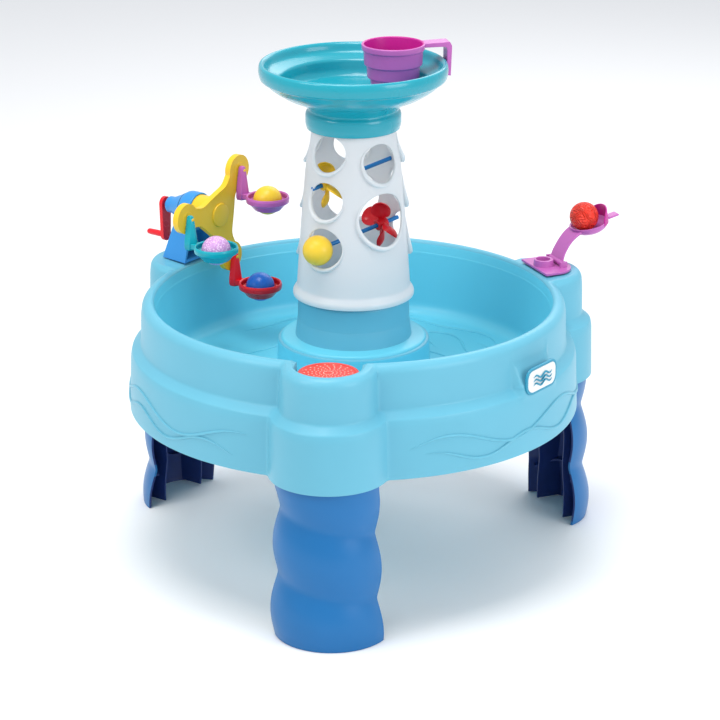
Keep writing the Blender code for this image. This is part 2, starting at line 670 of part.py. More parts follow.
# ---------------------------------------------------------------- ball in the tower's low port
port_frame = turn_z(-33.2) @ Matrix.Translation((0, -0.0825, TOWER_Z + 0.0862))
port_ball = empty("port_ball_at", port_frame, root)
add("ball_tower", ball(), material("BallYellow", (0.86, 0.58, 0.03), 0.3), port_ball)

# ---------------------------------------------------------------- bucket hung on the bowl's lip
BUCKET_PROFILE = [(0.0, 0.0), (0.0300, 0.0), (0.0320, 0.0020), (0.0345, 0.0180), (0.0385, 0.0200), (0.0395, 0.0370),
                  (0.0430, 0.0390), (0.0440, 0.0600), (0.0465, 0.0610), (0.0470, 0.0690), (0.0455, 0.0700),
                  (0.0430, 0.0690), (0.0415, 0.0400), (0.0370, 0.0380), (0.0360, 0.0210), (0.0325, 0.0190),
                  (0.0300, 0.0022), (0.0, 0.0020)]


def build_bucket():
    cup = turned(BUCKET_PROFILE, 26, closed=False)
    lip = 0.1392 - BUCKET_OUT
    outline = [(0.0440, 0.0690), (0.0440, 0.0630), (lip, 0.0630), (lip, 0.0200), (lip + 0.0032, 0.0190),
               (lip + 0.0050, 0.0640), (lip + 0.0020, 0.0690)]
    rings = [[(x, -y, z) for y, z in outline] for x in (-0.0095, 0.0095)]
    return combine(cup, [("UNION", loft(rings))])


bucket_at = empty("bucket_at", turn_z(BUCKET_ANGLE) @ Matrix.Translation((0, -BUCKET_OUT, BUCKET_Z)), root)
add("bucket", build_bucket(), material("BucketMagenta", MAGENTA, 0.33), bucket_at)

for layer in (cutters,):
    bpy.data.collections.remove(layer)
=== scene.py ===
"""Looks of the sand and water table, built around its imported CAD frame."""
import json
import math

import bmesh
import bpy
from mathutils import Matrix, Vector


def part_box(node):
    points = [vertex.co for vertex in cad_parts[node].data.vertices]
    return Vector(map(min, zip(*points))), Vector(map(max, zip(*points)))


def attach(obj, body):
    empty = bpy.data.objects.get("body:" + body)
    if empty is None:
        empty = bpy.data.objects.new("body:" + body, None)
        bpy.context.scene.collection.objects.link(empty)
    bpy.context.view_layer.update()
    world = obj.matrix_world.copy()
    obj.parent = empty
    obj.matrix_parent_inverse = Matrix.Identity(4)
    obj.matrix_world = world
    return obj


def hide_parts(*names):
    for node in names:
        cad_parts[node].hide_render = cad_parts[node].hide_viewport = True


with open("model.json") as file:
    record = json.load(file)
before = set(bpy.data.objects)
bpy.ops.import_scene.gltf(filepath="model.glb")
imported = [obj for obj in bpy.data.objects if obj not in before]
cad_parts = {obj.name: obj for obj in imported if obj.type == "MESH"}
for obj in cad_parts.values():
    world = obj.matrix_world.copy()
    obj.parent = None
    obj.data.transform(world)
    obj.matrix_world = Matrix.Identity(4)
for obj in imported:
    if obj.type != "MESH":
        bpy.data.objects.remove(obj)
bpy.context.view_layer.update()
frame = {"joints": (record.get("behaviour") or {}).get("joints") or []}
JOINTS = {j["name"]: j for j in frame["joints"]}
BOWL_LOW, BOWL_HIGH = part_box("bowl")
TABLE = Vector(((BOWL_LOW[0] + BOWL_HIGH[0]) / 2, (BOWL_LOW[1] + BOWL_HIGH[1]) / 2, 0.0))
RIM_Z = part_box("basin")[1][2] - 0.020
TURRETS = {"front": 0.0, "right": 120.0, "left": -120.0}
TURRET_OUT = 0.3125
TURRET_LIFT = 0.003
BALL_R = 0.0225
rad = math.radians


# ---------------------------------------------------------------- mesh helpers
def mesh_from(verts, faces):
    mesh = bpy.data.meshes.new("mesh")
    mesh.from_pydata([tuple(v) for v in verts], [], faces)
    bm = bmesh.new()
    bm.from_mesh(mesh)
    bmesh.ops.remove_doubles(bm, verts=bm.verts, dist=1e-6)
    bmesh.ops.recalc_face_normals(bm, faces=bm.faces)
    bm.to_mesh(mesh)
    bm.free()
    return mesh


def soft_corners(points, radii, closed=False, steps=4):
    """Polyline with each corner rounded by up to its radius; always the same number of points."""
    out = []
    n = len(points)
    for i, point in enumerate(points):
        if not closed and i in (0, n - 1):
            out.append(tuple(point))
            continue
        p = Vector(point)
        a = Vector(points[i - 1]) - p
        b = Vector(points[(i + 1) % n]) - p
        r = radii[i] if isinstance(radii, (list, tuple)) else radii
        start = p + a.normalized() * min(r, 0.45 * a.length)
        end = p + b.normalized() * min(r, 0.45 * b.length)
        for k in range(steps + 1):
            t = k / steps
            out.append(tuple(start * (1 - t) ** 2 + p * 2 * t * (1 - t) + end * t * t))
    return out


def loft(rings, closed=False, cap=True):
    count = len(rings[0])
    faces = []
    for i in range(len(rings) if closed else len(rings) - 1):
        a = i * count
        b = ((i + 1) % len(rings)) * count
        for k in range(count):
            n = (k + 1) % count
            faces.append((a + k, a + n, b + n, b + k))
    if cap and not closed:
        faces.append(tuple(range(count)))
        faces.append(tuple(range((len(rings) - 1) * count, len(rings) * count)))
    return mesh_from([v for ring in rings for v in ring], faces)


def turned(profile, radius=0.0015, steps=96, closed=True, along="Z"):
    """Profile of (radius, height) with softened corners, turned about Z or Y."""
    path = soft_corners(profile, radius, closed)
    verts = []
    rings = []
    for r, h in path:
        if r < 1e-7:
            rings.append([len(verts)] * steps)
            verts.append((0.0, 0.0, h))
            continue
        rings.append(list(range(len(verts), len(verts) + steps)))
        for k in range(steps):
            a = 2 * math.pi * k / steps
            verts.append((r * math.cos(a), r * math.sin(a), h))
    faces = []
    for i in range(len(rings) if closed else len(rings) - 1):
        low = rings[i]
        high = rings[(i + 1) % len(rings)]
        for k in range(steps):
            n = (k + 1) % steps
            loop = list(dict.fromkeys((low[k], low[n], high[n], high[k])))
            if len(loop) > 2:
                faces.append(tuple(loop))
    mesh = mesh_from(verts, faces)
    if along == "Y":
        mesh.transform(Matrix.Rotation(rad(-90), 4, "X"))
    return mesh


def rod(radius, start, end, edge=0.0005, steps=48):
    profile = [(0.0, start), (radius, start), (radius, end), (0.0, end)]
    return turned(profile, edge, steps, closed=False, along="Y")


def slab(outline, y0, y1):
    return loft([[(x, y0, z) for x, z in outline], [(x, y1, z) for x, z in outline]])


def box(x0, x1, y0, y1, z0, z1):
    corners = [(x0, y0), (x1, y0), (x1, y1), (x0, y1)]
    return loft([[(x, y, z0) for x, y in corners], [(x, y, z1) for x, y in corners]])


def tube(points, radius, sides=8, closed=False):
    """Round cord along points; a list of radii makes it swell."""
    rings = []
    n = len(points)
    for i, point in enumerate(points):
        before = Vector(points[(i - 1) % n] if closed else points[max(0, i - 1)])
        after = Vector(points[(i + 1) % n] if closed else points[min(n - 1, i + 1)])
        along = (after - before).normalized()
        side = along.cross(Vector((0.12, 0.35, 0.93))).normalized()
        up = side.cross(along)
        r = radius[i] if isinstance(radius, list) else radius
        rings.append([tuple(Vector(point) + side * (r * math.cos(2 * math.pi * k / sides))
                            + up * (r * math.sin(2 * math.pi * k / sides))) for k in range(sides)])
    return loft(rings, closed=closed)


def combine(base, steps):
    body = bpy.data.objects.new("body", base)
    bpy.context.scene.collection.objects.link(body)
    used = []
    for operation, mesh in steps:
        tool = bpy.data.objects.new("tool", mesh)
        bpy.context.scene.collection.objects.link(tool)
        used.append(tool)
        mod = body.modifiers.new("cut", "BOOLEAN")
        mod.operation = operation
        mod.solver = "EXACT"
        mod.object = tool
    graph = bpy.context.evaluated_depsgraph_get()
    result = bpy.data.meshes.new_from_object(body.evaluated_get(graph))
    for obj in [body, *used]:
        bpy.data.objects.remove(obj, do_unlink=True)
    return result


def joined(meshes):
    bm = bmesh.new()
    for mesh in meshes:
        bm.from_mesh(mesh)
    out = bpy.data.meshes.new("joined")
    bm.to_mesh(out)
    bm.free()
    return out


def turn(degrees, axis="Z"):
    return Matrix.Rotation(rad(degrees), 4, axis)


def at(x, y, z):
    return Matrix.Translation((x, y, z))


def piece(name, mesh, mat, body, nodes=(), place=None, bevel=0.0, inner=None):
    """One visible piece: material, edge rounding, the body it rides on and the nodes it stands for."""
    if place is not None:
        mesh.transform(place)
    obj = bpy.data.objects.new(name, mesh)
    bpy.context.scene.collection.objects.link(obj)
    marks = [poly.material_index for poly in mesh.polygons]
    mesh.materials.clear()
    mesh.materials.append(mat)
    # The second material goes on faces marked 1: painted light on the inside of the basin, painted shade
    # inside the legs and the bucket.
    if inner is not None:
        mesh.materials.append(inner)
    mesh.polygons.foreach_set("material_index", marks)
    mesh.polygons.foreach_set("use_smooth", [True] * len(mesh.polygons))
    if bevel:
        mod = obj.modifiers.new("edges", "BEVEL")
        mod.width = bevel
        mod.segments = 3
        mod.limit_method = "ANGLE"
        mod.angle_limit = rad(35)
        mod.harden_normals = True
    else:
        mesh.set_sharp_from_angle(angle=rad(50))
    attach(obj, body)
    if nodes:
        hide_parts(*nodes)
    return obj


# ---------------------------------------------------------------- materials
def plastic(name, color, rough=0.35, grain=0.06, mottle=0.05, coat=0.08, glow=0.0, scale=1.0):
    """Moulded plastic: faint colour drift, fine moulding grain, uneven gloss and a soft inner glow."""
    mat = bpy.data.materials.new(name)
    mat.use_nodes = True
    tree = mat.node_tree
    bsdf = tree.nodes["Principled BSDF"]
    coords = tree.nodes.new("ShaderNodeTexCoord")
    drift = tree.nodes.new("ShaderNodeTexNoise")
    drift.inputs["Scale"].default_value = 7.0 * scale
    drift.inputs["Detail"].default_value = 3.0
    fine = tree.nodes.new("ShaderNodeTexNoise")
    fine.inputs["Scale"].default_value = 900.0 * scale
    fine.inputs["Detail"].default_value = 2.0
    tree.links.new(coords.outputs["Object"], drift.inputs["Vector"])
    tree.links.new(coords.outputs["Object"], fine.inputs["Vector"])
    ramp = tree.nodes.new("ShaderNodeMix")
    ramp.data_type = "RGBA"
    ramp.inputs["A"].default_value = tuple(c * (1 - mottle) for c in color) + (1.0,)
    ramp.inputs["B"].default_value = tuple(min(1.0, c * (1 + mottle) + 0.01) for c in color) + (1.0,)
    tree.links.new(drift.outputs["Fac"], ramp.inputs["Factor"])
    wear = tree.nodes.new("ShaderNodeMapRange")
    wear.inputs["To Min"].default_value = rough - 0.06
    wear.inputs["To Max"].default_value = rough + 0.08
    tree.links.new(drift.outputs["Fac"], wear.inputs["Value"])
    bump = tree.nodes.new("ShaderNodeBump")
    bump.inputs["Strength"].default_value = grain
    bump.inputs["Distance"].default_value = 0.0004
    tree.links.new(fine.outputs["Fac"], bump.inputs["Height"])
    tree.links.new(ramp.outputs["Result"], bsdf.inputs["Base Color"])
    tree.links.new(wear.outputs["Result"], bsdf.inputs["Roughness"])
    tree.links.new(bump.outputs["Normal"], bsdf.inputs["Normal"])
    bsdf.inputs["Coat Weight"].default_value = coat
    bsdf.inputs["Coat Roughness"].default_value = 0.12
    bsdf.inputs["Specular IOR Level"].default_value = 0.35
    if glow:
        bsdf.inputs["Subsurface Weight"].default_value = glow
        bsdf.inputs["Subsurface Radius"].default_value = (0.012, 0.014, 0.016)
        bsdf.inputs["Subsurface Scale"].default_value = 0.5
    return mat


def add_height(mat, texture, strength, distance):
    """A second, larger relief under a plastic's grain."""
    tree = mat.node_tree
    bsdf = tree.nodes["Principled BSDF"]
    grain = bsdf.inputs["Normal"].links[0].from_node
    relief = tree.nodes.new("ShaderNodeBump")
    relief.inputs["Strength"].default_value = strength
    relief.inputs["Distance"].default_value = distance
    tree.links.new(texture, relief.inputs["Height"])
    tree.links.new(relief.outputs["Normal"], grain.inputs["Normal"])


BASIN = plastic("basin_skin", (0.125, 0.440, 0.580), 0.42, glow=0.05)
# Lighter, more cyan copy of the basin blue: painted light where the overhead light falls on the inside of the
# basin.
BASIN_LIT = plastic("basin_painted_light", (0.130, 0.580, 0.740), 0.36, glow=0.05)
LEG = plastic("leg_skin", (0.000, 0.140, 0.390), 0.36, mottle=0.10)
# Dark navy copy of the leg blue: painted shade for the hollow insides and ribs of the legs.
LEG_SHADE = plastic("leg_painted_shade", (0.008, 0.030, 0.160), 0.45)
TOWER = plastic("tower_skin", (0.880, 0.890, 0.900), 0.34, mottle=0.02)
BOWL = plastic("bowl_skin", (0.000, 0.320, 0.410), 0.26, coat=0.4)
BLUE = plastic("axle_skin", (0.004, 0.170, 0.480), 0.3, scale=3.0)
BRACKET = plastic("bracket_skin", (0.030, 0.270, 0.660), 0.32, scale=2.0)
YELLOW = plastic("yellow_skin", (0.900, 0.560, 0.020), 0.3, mottle=0.06, scale=2.0)
RED = plastic("red_skin", (0.780, 0.006, 0.018), 0.28, scale=2.0)
MAGENTA = plastic("magenta_skin", (0.500, 0.120, 0.430), 0.3, mottle=0.08, scale=2.0)
# Darker copy of the magenta: painted shade for the inside of the bucket, also used on the launcher's pin and
# back wall.
MAGENTA_SHADE = plastic("magenta_painted_shade", (0.500, 0.010, 0.270), 0.34, scale=2.0)
CUP_TEAL = plastic("cup_teal_skin", (0.000, 0.380, 0.460), 0.26, scale=2.0)
BALL_YELLOW = plastic("ball_yellow_skin", (0.880, 0.580, 0.030), 0.36, scale=3.0)
BALL_BLUE = plastic("ball_blue_skin", (0.004, 0.130, 0.560), 0.3, scale=3.0)
BALL_LAVENDER = plastic("ball_lavender_skin", (0.560, 0.280, 0.600), 0.34, scale=3.0)
BALL_ORANGE = plastic("ball_orange_skin", (0.850, 0.030, 0.010), 0.36, mottle=0.15, scale=3.0)
DISC = plastic("disc_skin", (0.720, 0.040, 0.030), 0.32, scale=2.0)
# Pale pink for the disc's little studs: painted highlight standing in for the glints on the bumps.
GLINT = plastic("glint_skin", (0.900, 0.420, 0.360), 0.2, scale=4.0)
BADGE = plastic("badge_skin", (0.780, 0.820, 0.820), 0.3, scale=2.0)
BADGE_EDGE = plastic("badge_edge_skin", (0.010, 0.270, 0.420), 0.3, scale=2.0)


def speckle(mat, scale, low, high, color):
    """Flakes of another colour sunk in the plastic."""
    tree = mat.node_tree
    bsdf = tree.nodes["Principled BSDF"]
    base = bsdf.inputs["Base Color"].links[0].from_socket
    coords = tree.nodes.new("ShaderNodeTexCoord")
    cells = tree.nodes.new("ShaderNodeTexVoronoi")
    cells.inputs["Scale"].default_value = scale
    tree.links.new(coords.outputs["Object"], cells.inputs["Vector"])
    pick = tree.nodes.new("ShaderNodeMapRange")
    pick.inputs["From Min"].default_value = low
    pick.inputs["From Max"].default_value = high
    tree.links.new(cells.outputs["Color"], pick.inputs["Value"])
    mix = tree.nodes.new("ShaderNodeMix")
    mix.data_type = "RGBA"
    mix.inputs["B"].default_value = color + (1.0,)
    tree.links.new(pick.outputs["Result"], mix.inputs["Factor"])
    tree.links.new(base, mix.inputs["A"])
    tree.links.new(mix.outputs["Result"], bsdf.inputs["Base Color"])


speckle(BALL_LAVENDER, 700.0, 0.62, 0.80, (0.88, 0.66, 0.86))


def see_through(mat, share, color):
    """Lets light through a thin milky wall."""
    tree = mat.node_tree
    bsdf = tree.nodes["Principled BSDF"]
    out = tree.nodes["Material Output"]
    thin = tree.nodes.new("ShaderNodeBsdfTranslucent")
    thin.inputs["Color"].default_value = color + (1.0,)
    mix = tree.nodes.new("ShaderNodeMixShader")
    mix.inputs["Fac"].default_value = share
    tree.links.new(bsdf.outputs["BSDF"], mix.inputs[1])
    tree.links.new(thin.outputs["BSDF"], mix.inputs[2])
    tree.links.new(mix.outputs["Shader"], out.inputs["Surface"])


see_through(TOWER, 0.35, (0.86, 0.88, 0.90))


def maze(mat):
    """Worm-like raised pattern."""
    tree = mat.node_tree
    coords = tree.nodes.new("ShaderNodeTexCoord")
    wave = tree.nodes.new("ShaderNodeTexWave")
    wave.inputs["Scale"].default_value = 60.0
    wave.inputs["Distortion"].default_value = 14.0
    wave.inputs["Detail"].default_value = 0.0
    wave.inputs["Detail Scale"].default_value = 1.6
    tree.links.new(coords.outputs["Object"], wave.inputs["Vector"])
    add_height(mat, wave.outputs["Fac"], 0.9, 0.0022)


maze(BALL_ORANGE)


# ---------------------------------------------------------------- frames
ROOT = Matrix.Translation(TABLE)
POD = {side: ROOT @ turn(angle) for side, angle in TURRETS.items()}


def joint_at(name, matrix):
    """The matrix's axes with its origin at a joint of the record."""
    m = matrix.copy()
    m.translation = Vector(JOINTS[name]["pos_m"])
    return m


# ---------------------------------------------------------------- basin
# radius, height from the rim, turret radius, kind, corner softness
PROFILE = [
    (0.050, 0.020, 0, "", 0.003), (0.052, 0.0035, 0, "", 0.002), (0.0816, 0.0035, 0, "", 0.002),
    (0.0836, 0.000, 0, "", 0.002), (0.0850, -0.058, 0, "", 0.003), (0.1100, -0.060, 0, "", 0.005),
    (0.1135, -0.1190, 0, "", 0.006), (0.2780, -0.1200, 0, "", 0.010), (0.2900, -0.1080, 0, "", 0.010),
    (0.2975, -0.0190, 0, "shelf_in", 0.002), (0.2980, -0.0180, 0.0478, "shelf", 0.002),
    (0.3005, -0.0030, 0.0486, "shelf", 0.003), (0.3045, 0.0000, 0.0525, "shelf", 0.003),
    (0.3120, -0.0010, 0.0610, "turret", 0.005), (0.3185, -0.0080, 0.0672, "turret", 0.005),
    (0.3200, -0.0200, 0.0690, "turret", 0.006), (0.3215, -0.0660, 0.0700, "boss", 0.003),
    (0.3350, -0.0770, 0.0830, "boss", 0.002), (0.3370, -0.0860, 0.0850, "turret", 0.005),
    (0.3400, -0.1650, 0.0870, "turret", 0.001), (0.3360, -0.1650, 0.0830, "turret", 0.001),
    (0.3325, -0.0880, 0.0810, "turret", 0.003), (0.3170, -0.0740, 0.0655, "turret", 0.003),
    (0.3155, -0.0120, 0.0645, "turret", 0.003), (0.3090, -0.0050, 0.0580, "turret", 0.003),
    (0.3065, -0.0050, 0.0535, "shelf", 0.001), (0.3045, -0.0120, 0.0522, "shelf", 0.002),
    (0.3035, -0.0215, 0.0515, "shelf", 0.001), (0.3030, -0.0225, 0, "shelf_in", 0.001),
    (0.2945, -0.1100, 0, "", 0.004), (0.2810, -0.1240, 0, "", 0.006), (0.1170, -0.1230, 0, "", 0.004),
    (0.1145, -0.0640, 0, "", 0.003), (0.0885, -0.0620, 0, "", 0.003), (0.0800, -0.0010, 0, "", 0.003),
    (0.0480, -0.0010, 0, "", 0.002), (0.0460, 0.0160, 0, "", 0.002)]
BOSS_TOP = 15
BADGE_BEARING = 60.0


def turret_radius(half, degrees):
    a = rad(degrees)
    sideways = TURRET_OUT * math.sin(a)
    if abs(sideways) >= half:
        return 0.0
    return TURRET_OUT * math.cos(a) + math.sqrt(half * half - sideways * sideways)


def skirt_radius(row, side, degrees):
    """Radius of one profile row, with a small fillet where a turret meets the skirt."""
    radius, height, half, kind, _ = row
    if kind in ("turret", "boss") or (kind == "shelf" and side == "front"):
        bulge = turret_radius(half, degrees)
        k = 0.004
        if bulge > 0.0:
            radius = 0.5 * (radius + bulge + math.sqrt((radius - bulge) ** 2 + k * k)) - 0.0005
            radius = max(radius, row[0])
    return radius


def badge_gap(bearing):
    return abs((bearing - BADGE_BEARING + 180.0) % 360.0 - 180.0)


def build_basin():
    near = [d * 0.5 for d in range(-36, 37)]
    far = [19 + 2.0 * k for k in range(16)] + [50.5, 51.2, 51.8, 52.4, 53.0, 54.0, 56.0, 58.0]
    sector = sorted(near + far + [-d for d in far] + [-60.0])
    rings = []
    for side in ("front", "right", "left"):
        for d in sector:
            bearing = TURRETS[side] + d
            path = []
            for i, row in enumerate(PROFILE):
                radius = skirt_radius(row, side, d)
                height = row[1]
                if row[3] == "turret" and side != "front" and height > -0.012:
                    lift = min(1.0, max(0.0, (turret_radius(row[2], d) - row[0]) / 0.004))
                    height += TURRET_LIFT * lift
                rise = min(1.0, max(0.0, (8.4 - badge_gap(bearing)) / 1.2))
                if row[3] == "boss":
                    radius += (max(radius, 0.3385) - radius) * rise
                if i == BOSS_TOP:
                    height -= 0.012 * rise
                path.append((radius, height))
            path = soft_corners(path, [row[4] for row in PROFILE])
            a = rad(bearing)
            rings.append([(r * math.sin(a), -r * math.cos(a), RIM_Z + h) for r, h in path])
    count = len(rings[0])
    verts = [v for ring in rings for v in ring]
    faces = []
    for i in range(len(rings)):
        a = i * count
        b = ((i + 1) % len(rings)) * count
        for k in range(count - 1):
            faces.append((a + k, a + k + 1, b + k + 1, b + k))
    top = len(verts)
    verts += [(0, 0, RIM_Z + 0.020), (0, 0, RIM_Z + 0.016)]
    for i in range(len(rings)):
        n = (i + 1) % len(rings)
        faces.append((top, i * count, n * count))
        faces.append((top + 1, i * count + count - 1, n * count + count - 1))
    mesh = mesh_from(verts, faces)
    # Faces inside the basin and in the front alcove get the second material, the painted-light copy of the
    # basin blue.
    for poly in mesh.polygons:
        c = poly.center
        r = math.hypot(c.x, c.y)
        inside = c.z > RIM_Z - 0.1225 and 0.0845 < r < 0.3003 and poly.normal.z > -0.3 and c.z < RIM_Z - 0.004
        alcove = abs(c.x) < 0.047 and c.y < -0.29 and c.z > RIM_Z - 0.020 and c.z < RIM_Z - 0.004 and r < 0.359
        if inside or alcove:
            poly.material_index = 1
    return mesh


basin_mesh = build_basin()
piece("basin_shell", basin_mesh, BASIN, "table", ["basin"], ROOT, inner=BASIN_LIT)


def on_skirt(bearing, height, proud=0.0):
    """Point on the lower skirt at a bearing and a height from the rim."""
    side = min(TURRETS, key=lambda s: abs((bearing - TURRETS[s] + 180) % 360 - 180))
    d = (bearing - TURRETS[side] + 180) % 360 - 180
    t = (-0.086 - height) / 0.079
    row = (0.3370 + 0.0030 * t, height, 0.0850 + 0.0020 * t, "turret", 0)
    r = skirt_radius(row, side, d) + proud
    a = rad(bearing)
    return (r * math.sin(a), -r * math.cos(a), RIM_Z + height)


RELIEF = 0.0020
for number, (start, end, mid, swing, waves, phase) in enumerate((
        (20, 100, -0.122, 0.014, 2.0, 0.0), (24, 96, -0.140, 0.010, 2.5, 1.2),
        (140, 220, -0.122, 0.014, 2.0, 0.8), (144, 216, -0.140, 0.010, 2.5, 2.2),
        (260, 340, -0.122, 0.014, 2.0, 2.0), (264, 336, -0.140, 0.010, 2.5, 0.4))):
    line = []
    for k in range(97):
        t = k / 96
        line.append(on_skirt(start + (end - start) * t,
                             mid + swing * math.sin(2 * math.pi * waves * t + phase)))
    ridge = [0.0004 + RELIEF * min(1.0, 8 * min(k, 96 - k) / 96) for k in range(97)]
    piece("skirt_wave_%d" % number, tube(line, ridge), BASIN, "table", place=ROOT)

for number, (r0, swing, waves, start, end) in enumerate((
        (0.150, 0.010, 3, 15, 150), (0.175, 0.012, 4, 40, 185), (0.210, 0.014, 5, 5, 120),
        (0.240, 0.010, 4, 160, 300), (0.190, 0.014, 4, 205, 340), (0.225, 0.010, 5, 310, 400),
        (0.255, 0.008, 6, 30, 140), (0.160, 0.008, 3, 230, 330))):
    line = []
    for k in range(121):
        a = rad(start + (end - start) * k / 120)
        r = r0 + swing * math.sin(waves * a * 1.7)
        line.append((r * math.cos(a), r * math.sin(a), RIM_Z - 0.1200))
    ridge = [0.0005 + 0.0018 * min(1.0, 8 * min(k, 120 - k) / 120) for k in range(121)]
    # The floor swirls take the painted-light copy of the basin blue.
    piece("floor_swirl_%d" % number, tube(line, ridge), BASIN_LIT, "table", place=ROOT)

# ---------------------------------------------------------------- legs
LEG_TOP = RIM_Z - 0.0862
LEG_WALL = 0.0035


def leg_radius(height, turn_deg):
    t = max(0.0, 1.0 - height / LEG_TOP)
    fade = min(1.0, max(0.0, (RIM_Z - 0.165 - height) / 0.020))
    phase = height / 0.100 + 0.22 * turn_deg / 90.0 + 0.20
    wave = math.sqrt(math.sin(math.pi * phase) ** 2 + 0.01)
    return 0.0770 + 0.0130 * t ** 1.4 + fade * 0.0100 * (wave - 1.0)


def build_leg():
    rings = []
    arcs = 24
    for level in range(97):
        height = LEG_TOP * (1.0 - level / 96)
        t = 1.0 - height / LEG_TOP
        reach = 74.0 - 6.0 * t
        outer = []
        inner = []
        for k in range(arcs * 2 + 1):
            turn_deg = reach * (k / arcs - 1.0)
            a = rad(turn_deg)
            r = leg_radius(height, turn_deg)
            outer.append((r * math.sin(a), -(TURRET_OUT + r * math.cos(a)), height))
            r -= LEG_WALL
            inner.append((r * math.sin(a), -(TURRET_OUT + r * math.cos(a)), height))
        rings.append(outer + inner[::-1])
    mesh = loft(rings)
    # Faces on the inner side of the wall get the second material, the painted-shade navy.
    for poly in mesh.polygons:
        c = poly.center
        a = math.degrees(math.atan2(c.x, -(c.y + TURRET_OUT)))
        r = math.hypot(c.x, c.y + TURRET_OUT)
        if r < leg_radius(c.z, a) - LEG_WALL * 0.5:
            poly.material_index = 1
    return mesh


def build_leg_ribs():
    """Two upright ribs and three wavy cross ribs inside a leg."""
    parts = []
    for bearing in (-32.0, 32.0):
        rings = []
        for level in range(33):
            height = 0.002 + (LEG_TOP - 0.006) * (1.0 - level / 32)
            t = 1.0 - height / LEG_TOP
            r = leg_radius(height, bearing) - 0.0025
            x = r * math.sin(rad(bearing))
            y = TURRET_OUT + r * math.cos(rad(bearing))
            tip = TURRET_OUT + (0.077 + 0.013 * t) * math.cos(rad(74.0)) + 0.006
            rings.append([(x - 0.0013, -y, height), (x - 0.0013, -tip, height),
                          (x + 0.0013, -tip, height), (x + 0.0013, -y, height)])
        parts.append(loft(rings))
    for height in (0.060, 0.150, 0.240):
        rings = []
        for k in range(41):
            turn_deg = -62.0 + 124.0 * k / 40
            z = height + 0.010 * math.sin(rad(turn_deg * 4.0))
            ring = []
            for dz in (-0.0013, 0.0013):
                r = leg_radius(z, turn_deg) - 0.0025
                a = rad(turn_deg)
                ring.append((r * math.sin(a), -(TURRET_OUT + r * math.cos(a)), z + dz))
                r -= 0.012
                ring.append((r * math.sin(a), -(TURRET_OUT + r * math.cos(a)), z + dz))
            rings.append([ring[0], ring[1], ring[3], ring[2]])
        parts.append(loft(rings))
    return joined(parts)


for side in TURRETS:
    mesh = build_leg()
    piece("leg_shell_" + side, mesh, LEG, "table", ["leg_" + side], POD[side], inner=LEG_SHADE)
    # The ribs inside the legs are coloured with the painted-shade navy.
    piece("leg_ribs_" + side, build_leg_ribs(), LEG_SHADE, "table", place=POD[side])

# ---------------------------------------------------------------- badge and disc
def round_rect(w, h, r, steps=10):
    out = []
    for cx, cz, start in ((w - r, h - r, 0), (-w + r, h - r, 90), (-w + r, -h + r, 180), (w - r, -h + r,
            270)):
        for k in range(steps + 1):
            a = rad(start + 90 * k / steps)
            out.append((cx + r * math.cos(a), cz + r * math.sin(a)))
    return out


def wrap(outline, base, thick, middle=-0.058):
    """Outline bent round the skirt at the badge's place."""
    rings = []
    for r, grow in ((base, 1.0), (base + thick * 0.7, 1.0), (base + thick, 0.985)):
        rings.append([(r * math.sin(x * grow / 0.3412), -r * math.cos(x * grow / 0.3412),
                       RIM_Z + middle + z * grow)
                      for x, z in outline])
    return loft(rings)


BADGE_AT = ROOT @ turn(BADGE_BEARING)
piece("badge_edge", wrap(round_rect(0.0402, 0.0204, 0.0150), 0.3386, 0.0024), BADGE_EDGE, "table",
      ["badge_plate"], BADGE_AT)
piece("badge_face", wrap(round_rect(0.0360, 0.0165, 0.0120), 0.3400, 0.0015), BADGE, "table",
      place=BADGE_AT)
for number, z0 in enumerate((0.0050, -0.0010, -0.0070)):
    crest = []
    for k in range(41):
        x = -0.024 + 0.048 * k / 40
        z = z0 + 0.0026 * math.sin(2 * math.pi * k / 20)
        crest.append((0.3417 * math.sin(x / 0.3412), -0.3417 * math.cos(x / 0.3412), RIM_Z - 0.058 + z))
    ridge = [0.0003 + 0.0010 * min(1.0, 6 * min(k, 40 - k) / 40) for k in range(41)]
    piece("badge_wave_%d" % number, tube(crest, ridge), BADGE_EDGE, "table", place=BADGE_AT)

disc_low, disc_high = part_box("splash_disc")
DISC_AT = at((disc_low[0] + disc_high[0]) / 2, (disc_low[1] + disc_high[1]) / 2, disc_low[2])
disc_profile = [(0.0, 0.0), (0.0428, 0.0), (0.0439, 0.0010), (0.0439, 0.0045), (0.0430, 0.0056), (0.0385,
        0.0058),
                (0.0372, 0.0048), (0.0, 0.0054)]
piece("disc_plate", turned(disc_profile, 0.0006, closed=False), DISC, "splash_disc",
      ["splash_disc"], DISC_AT)
studs = []
for ray in range(18):
    for step in range(6):
        a = rad(ray * 20 + step * 5)
        r = 0.0070 + 0.0054 * step
        size = 0.0011 + 0.00008 * step
        stud = turned([(0.0, 0.0), (size, 0.0), (size * 0.75, 0.0006), (0.0, 0.0009)], 0.0004, 10,
                      closed=False)
        stud.transform(at(r * math.cos(a), r * math.sin(a), 0.0050))
        studs.append(stud)
# The studs are coloured pale pink as painted highlight.
piece("disc_studs", joined(studs), GLINT, "splash_disc", place=DISC_AT)

